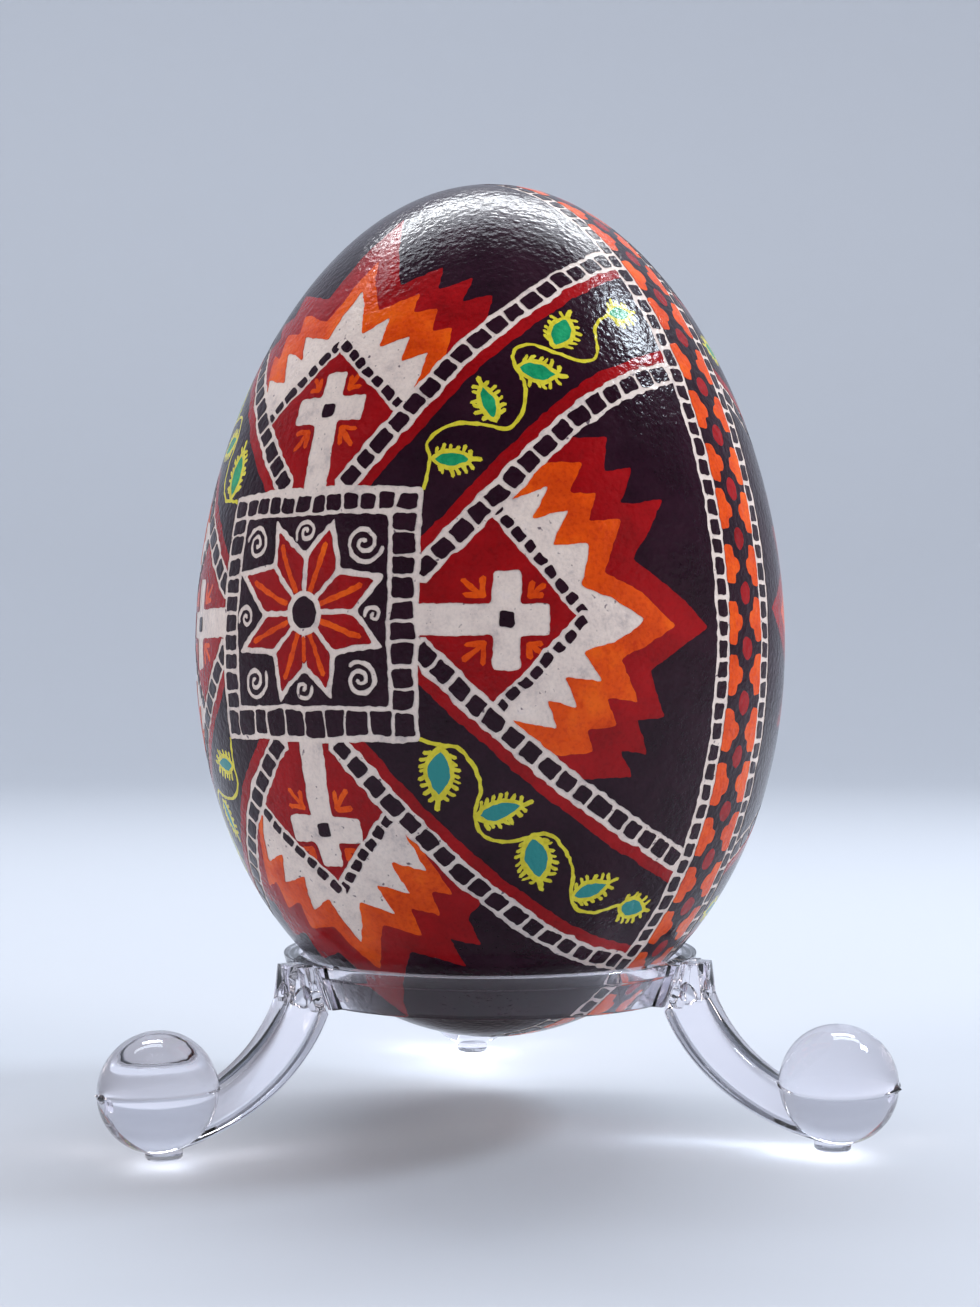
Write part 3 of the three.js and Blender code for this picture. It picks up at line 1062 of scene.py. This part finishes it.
class Nodes:
    """A new material whose nodes are added and joined in one call each."""

    def __init__(self, name):
        self.material = bpy.data.materials.new(name)
        self.material.use_nodes = True
        self.tree = self.material.node_tree
        self.shader = self.tree.nodes["Principled BSDF"]

    def add(self, kind, inputs=None, **settings):
        node = self.tree.nodes.new("ShaderNode" + kind)
        for setting, value in settings.items():
            setattr(node, setting, value)
        for socket, value in (inputs or {}).items():
            self.join(value, node.inputs[socket])
        return node

    def join(self, value, socket):
        if isinstance(value, bpy.types.NodeSocket):
            self.tree.links.new(value, socket)
        else:
            socket.default_value = value

    def set(self, socket, value):
        self.join(value, self.shader.inputs[socket])

    def noise(self, size, detail=3.0, roughness=0.5):
        """Noise whose bumps are this many millimetres across."""
        place = self.add("TexCoord").outputs["Object"]
        inputs = {"Vector": place, "Scale": 1 / (size * MM), "Detail": detail, "Roughness": roughness}
        return self.add("TexNoise", inputs).outputs["Fac"]

    def ramp(self, value, stops):
        """A colour or grey read off a ramp: stops are (place, colour)."""
        node = self.add("ValToRGB", {"Fac": value})
        for element, (place, colour) in zip(node.color_ramp.elements, (stops[0], stops[-1])):
            element.position = place
            element.color = (*colour, 1)
        for place, colour in stops[1:-1]:
            node.color_ramp.elements.new(place).color = (*colour, 1)
        return node.outputs["Color"]

    def mix(self, share, first, second):
        node = self.add("Mix", data_type="RGBA")
        self.join(share, node.inputs["Factor"])
        for value, socket in ((first, node.inputs[6]), (second, node.inputs[7])):
            self.join(value if isinstance(value, bpy.types.NodeSocket) else (*value, 1), socket)
        return node.outputs[2]

    def bump(self, height, distance, under=None):
        inputs = {"Height": height, "Distance": distance * MM, "Strength": 1.0}
        if under is not None:
            inputs["Normal"] = under
        return self.add("Bump", inputs).outputs["Normal"]


VARNISH_GLOSS = 0.2


def dye(name, colours, blotch=4.0, grain=0.35):
    """A dyed and varnished eggshell: blotchy where the dye took unevenly, with fine pores."""
    nodes = Nodes(name)
    dark, middle, light = colours
    blotches = nodes.ramp(nodes.noise(blotch, 4.0, 0.6), [(0.32, dark), (0.5, middle), (0.68, light)])
    pores = nodes.ramp(nodes.noise(grain, 2.0), [(0.3, tuple(0.72 * part for part in middle)), (0.52, light)])
    nodes.set("Base Color", nodes.mix(0.3, blotches, pores))
    varnish(nodes)
    return nodes


def varnish(nodes):
    """Brushed gloss varnish: slightly wavy, with the shell's fine bumps under it."""
    roughness = nodes.ramp(nodes.noise(6.0), [(0.3, (0.12,) * 3), (0.7, (0.22,) * 3)])
    nodes.set("Roughness", roughness)
    waves = nodes.bump(nodes.noise(2.4, 2.0), 0.05)
    nodes.set("Normal", nodes.bump(nodes.noise(0.6, 2.5), 0.085, waves))
    nodes.shader.inputs["Specular IOR Level"].default_value = VARNISH_GLOSS


def bare_shell_material():
    """Bare off-white shell under the wax lines: grey smudges and a few dark specks."""
    nodes = Nodes("bare_shell")
    base = nodes.ramp(
        nodes.noise(2.2, 5.0, 0.65),
        [(0.3, (0.42, 0.36, 0.35)), (0.42, (0.7, 0.59, 0.53)), (0.6, (0.8, 0.69, 0.61)), (0.75, (0.74, 0.64, 0.61))],
    )
    specks = nodes.ramp(nodes.noise(0.55, 1.0), [(0.7, (0.0,) * 3), (0.78, (1.0,) * 3)])
    grain = nodes.ramp(nodes.noise(0.3, 2.0), [(0.3, (0.56, 0.5, 0.49)), (0.55, (0.8, 0.7, 0.65))])
    nodes.set("Base Color", nodes.mix(specks, nodes.mix(0.35, base, grain), (0.16, 0.12, 0.14)))
    varnish(nodes)
    return nodes.material


def green_material():
    """Green leaves on the upper vines that turn to teal on the lower ones."""
    nodes = dye("green_dye", [(0.004, 0.16, 0.07), (0.006, 0.26, 0.11), (0.02, 0.36, 0.15)], 1.5)
    painted = nodes.shader.inputs["Base Color"].links[0].from_socket
    place = nodes.add("SeparateXYZ", {"Vector": nodes.add("TexCoord").outputs["Object"]}).outputs["Z"]
    height = nodes.add("MapRange", {"Value": place, "From Min": 0.054, "From Max": 0.046}).outputs["Result"]
    nodes.set("Base Color", nodes.mix(height, painted, (0.028, 0.24, 0.235)))
    return nodes.material


def membrane_material():
    nodes = Nodes("dried_membrane")
    nodes.set("Base Color", nodes.ramp(nodes.noise(1.5, 5.0), [(0.35, (0.7, 0.62, 0.5)), (0.65, (0.84, 0.79, 0.7))]))
    nodes.set("Roughness", 0.8)
    nodes.set("Normal", nodes.bump(nodes.noise(0.8, 4.0), 0.05))
    return nodes.material


def clear_plastic_material():
    """Clear moulded plastic with faint flow marks, and a painted lilac tint that stands for the colour of the
    surroundings seen in it.
    """
    nodes = Nodes("clear_plastic")
    # Painted reflection: the lilac in this colour stands for the surroundings seen through and in the plastic, not
    # for a tint of the plastic's own.
    nodes.set("Base Color", (0.92, 0.895, 0.945, 1))
    nodes.shader.inputs["Transmission Weight"].default_value = 1.0
    nodes.shader.inputs["IOR"].default_value = 1.49
    nodes.set("Roughness", nodes.ramp(nodes.noise(3.0, 3.0), [(0.4, (0.015,) * 3), (0.7, (0.06,) * 3)]))
    nodes.set("Normal", nodes.bump(nodes.noise(2.2, 2.0), 0.012))
    return nodes.material


# ------------------------------------------------------------------ putting it together


def build_egg():
    draw_everything()
    directions, triangles, colour = coloured_triangles()
    materials = {
        "black": dye("black_ground", [(0.009, 0.001, 0.005), (0.015, 0.002, 0.008), (0.024, 0.005, 0.013)]).material,
        "red": dye("red_dye", [(0.19, 0.001, 0.002), (0.27, 0.001, 0.003), (0.35, 0.003, 0.005)]).material,
        "orange": dye("orange_dye", [(0.5, 0.025, 0.001), (0.68, 0.055, 0.001), (0.82, 0.12, 0.004)]).material,
        "yellow": dye("yellow_dye", [(0.5, 0.42, 0.02), (0.66, 0.57, 0.03), (0.72, 0.66, 0.06)], 1.5).material,
        "green": green_material(),
    }
    materials["cells"] = materials["black"]
    for name, material in materials.items():
        film("dye_" + name, directions, triangles[colour == name], material)
    points, faces = revolved(hollow_egg_profile(SHELL_INSET, SHELL_THICKNESS, 120), 192)
    shell = new_object(
        "bare_shell", in_frame(points), faces, "egg", "eggshell", bare_shell_material()
    )
    # The membrane lies a little inside the shell, as it does once it has dried.
    points, faces = revolved(hollow_egg_profile(0.9, 0.3, 60), 96)
    new_object(
        "dried_membrane", in_frame(points), faces, "membrane", "shell_membrane",
        membrane_material(),
    )
    return shell


def build_stand():
    material = clear_plastic_material()
    ring(material)
    for name, degrees in LEG_ANGLES.items():
        leg(name, degrees, material)


# ------------------------------------------------------------------ floor, light and camera


def plain_material(name, colour, roughness):
    nodes = Nodes(name)
    nodes.set("Base Color", (*colour, 1))
    nodes.set("Roughness", roughness)
    return nodes.material


# The floor is flat this far out, then curves up into the wall, in metres.
FLOOR_RADIUS = 0.7
WALL_CURVE = 0.6
WALL_TOP = 2.1
WALL_THICKNESS = 0.02


def build_floor():
    """A pale round floor that curves up into a low wall all round, so that every view has a plain ground."""
    wall = FLOOR_RADIUS + WALL_CURVE
    profile = [(0, 0), (FLOOR_RADIUS, 0)]
    for step in range(1, 13):
        turn = math.pi / 2 * step / 12
        profile.append((FLOOR_RADIUS + WALL_CURVE * math.sin(turn), WALL_CURVE * (1 - math.cos(turn))))
    profile += [(wall, WALL_TOP), (wall + WALL_THICKNESS, WALL_TOP)]
    profile += [(wall + WALL_THICKNESS, -WALL_THICKNESS), (0, -WALL_THICKNESS)]
    points, faces = revolved(profile, 96)
    mesh = bpy.data.meshes.new("floor")
    mesh.from_pydata([tuple(point) for point in points], [], faces)
    mesh.polygons.foreach_set("use_smooth", [True] * len(mesh.polygons))
    mesh.set_sharp_from_angle(angle=math.radians(40))
    mesh.materials.append(plain_material("floor", (0.41, 0.43, 0.47), 0.6))
    floor = bpy.data.objects.new("floor", mesh)
    bpy.context.scene.collection.objects.link(floor)


def area_light(name, place, target, size, power, colour=(1, 1, 1), mirrored=True):
    """A soft lamp; one that isn't mirrored lights the varnish without showing in it."""
    light = bpy.data.lights.new(name, "AREA")
    light.shape = "RECTANGLE"
    light.size, light.size_y = size
    light.energy = power
    light.color = colour
    item = bpy.data.objects.new(name, light)
    item.visible_glossy = mirrored
    item.location = place
    item.rotation_euler = (Vector(target) - Vector(place)).to_track_quat("-Z", "Y").to_euler()
    bpy.context.scene.collection.objects.link(item)


def build_light():
    world = bpy.data.worlds.new("studio")
    world.use_nodes = True
    background = world.node_tree.nodes["Background"]
    background.inputs["Color"].default_value = (0.72, 0.8, 1.0, 1)
    background.inputs["Strength"].default_value = 0.3
    bpy.context.scene.world = world
    bpy.context.scene.view_settings.view_transform = "Standard"
    middle = (0, 0, 0.05)
    area_light("overhead", (0.02, 0.27, 0.54), middle, (0.56, 0.08), 3.0, (0.92, 0.96, 1.0))
    area_light("glow", (0.42, 0.03, 0.52), middle, (0.12, 0.12), 2.2, (0.8, 0.9, 1.0))
    area_light("right", (0.95, -0.5, 0.6), middle, (0.6, 0.6), 7.0, (1.0, 0.91, 0.85), mirrored=False)
    area_light("left", (-1.15, -0.35, 0.6), middle, (0.6, 0.6), 8.8, (1.0, 0.91, 0.85), mirrored=False)
    area_light("wall", (0, 0.45, 1.5), (0, 1.3, 0.4), (2.0, 0.4), 17.0, (0.85, 0.92, 1.0))


# The camera: where it stands, how it is turned, and the long side of its picture on a 36 mm sensor.
CAMERA_PLACE = (-0.01255, -0.2192, 0.04444)
CAMERA_TURN = math.radians(3.37)
CAMERA_TILT = math.radians(0.76)
CAMERA_LENS = 56.93


def build_camera():
    camera = bpy.data.cameras.new("camera")
    camera.sensor_width = 36
    camera.lens = CAMERA_LENS
    camera.clip_start = 0.01
    item = bpy.data.objects.new("camera", camera)
    item.location = CAMERA_PLACE
    item.rotation_euler = (math.pi / 2 + CAMERA_TILT, 0, -CAMERA_TURN)
    bpy.context.scene.collection.objects.link(item)
    bpy.context.scene.camera = item


build_egg()
build_stand()
build_floor()
build_light()
build_camera()
